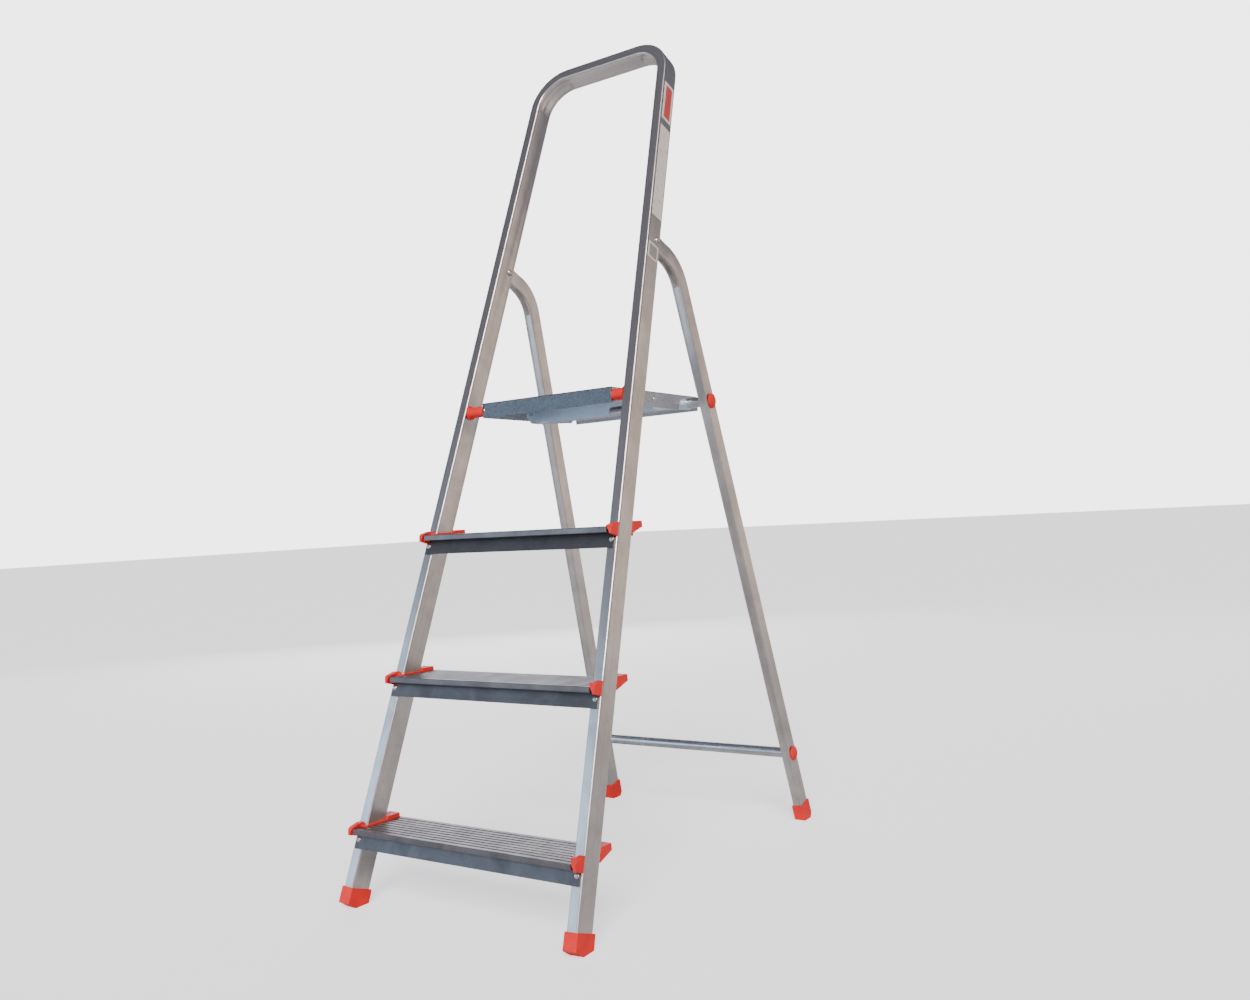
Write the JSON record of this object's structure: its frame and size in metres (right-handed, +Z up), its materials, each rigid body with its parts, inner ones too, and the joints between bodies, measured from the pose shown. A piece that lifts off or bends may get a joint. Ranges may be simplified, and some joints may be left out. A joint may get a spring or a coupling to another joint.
{
  "type": "platform step ladder",
  "caption": "Folding step ladder with ribbed steps, a hinged platform under a guard hoop, and a folding link between platform and rear legs.",
  "frame": {"origin": "on the floor, at the middle of the ladder's footprint: midway between left and right, and midway between the foremost and rearmost points", "axes": "+Z up, +X to the right of a person climbing, -Y towards the side the person climbs from"},
  "size_m": [0.4876, 0.804, 1.5241],
  "materials": {
    "stile_aluminium": "extruded mill finish",
    "tread_aluminium": "ribbed extrusion, worn",
    "tube_aluminium": "drawn, satin",
    "red_plastic": "moulded, slightly glossy",
    "tray_steel": "grey-blue coated sheet",
    "galvanised_steel": "galvanised sheet",
    "rivet_metal": "plated",
    "label_white": "printed film",
    "label_red": "printed film",
    "label_silver": "printed film"
  },
  "bodies": {
    "front_frame": {"front_foot_left": "red_plastic", "front_foot_right": "red_plastic", "front_frame_tube": "stile_aluminium", "label_emblem": "label_red", "label_notice": "label_white", "label_type": "label_silver", "leg_pivot_pins": "rivet_metal", "platform_bushing_left": "red_plastic", "platform_bushing_right": "red_plastic", "platform_pivot_pins": "rivet_metal", "step_1": "tread_aluminium", "step_2": "tread_aluminium", "step_3": "tread_aluminium", "step_collar_1_left": "red_plastic", "step_collar_1_right": "red_plastic", "step_collar_2_left": "red_plastic", "step_collar_2_right": "red_plastic", "step_collar_3_left": "red_plastic", "step_collar_3_right": "red_plastic", "step_rivets": "rivet_metal"},
    "rear_frame": {"cross_tube_cap_left": "red_plastic", "cross_tube_cap_right": "red_plastic", "leg_pivot_sleeves": "rivet_metal", "platform_rest_rod": "tube_aluminium", "rear_cross_tube": "tube_aluminium", "rear_foot_left": "red_plastic", "rear_foot_right": "red_plastic", "rear_leg_left": "stile_aluminium", "rear_leg_right": "stile_aluminium", "rest_rod_cap_left": "red_plastic", "rest_rod_cap_right": "red_plastic", "rest_rod_spacers": "tube_aluminium"},
    "link": {"platform_link": "galvanised_steel"},
    "platform": {"link_pins": "rivet_metal", "platform_pivot_studs": "rivet_metal", "platform_tray": "tray_steel"}
  },
  "joints": [
    {"name": "rear_fold", "type": "hinge", "parent": "front_frame", "child": "rear_frame", "pos_m": [0, 0.02698, 1.1085], "axis": [1, 0, 0], "range_deg": [-34.88, 0]},
    {"name": "link_fold", "type": "hinge", "parent": "rear_frame", "child": "link", "pos_m": [0, 0.16395, 0.83], "axis": [1, 0, 0], "range_deg": [-59.13, 0]},
    {"name": "platform_fold", "type": "hinge", "parent": "link", "child": "platform", "pos_m": [0, 0.03619, 0.83], "axis": [1, 0, 0], "range_deg": [0, 144.92]}
  ],
  "couplings": [
    {"joint": "link_fold", "follows": "rear_fold", "ratio": 1.6949},
    {"joint": "platform_fold", "follows": "rear_fold", "ratio": -4.1544}
  ]
}
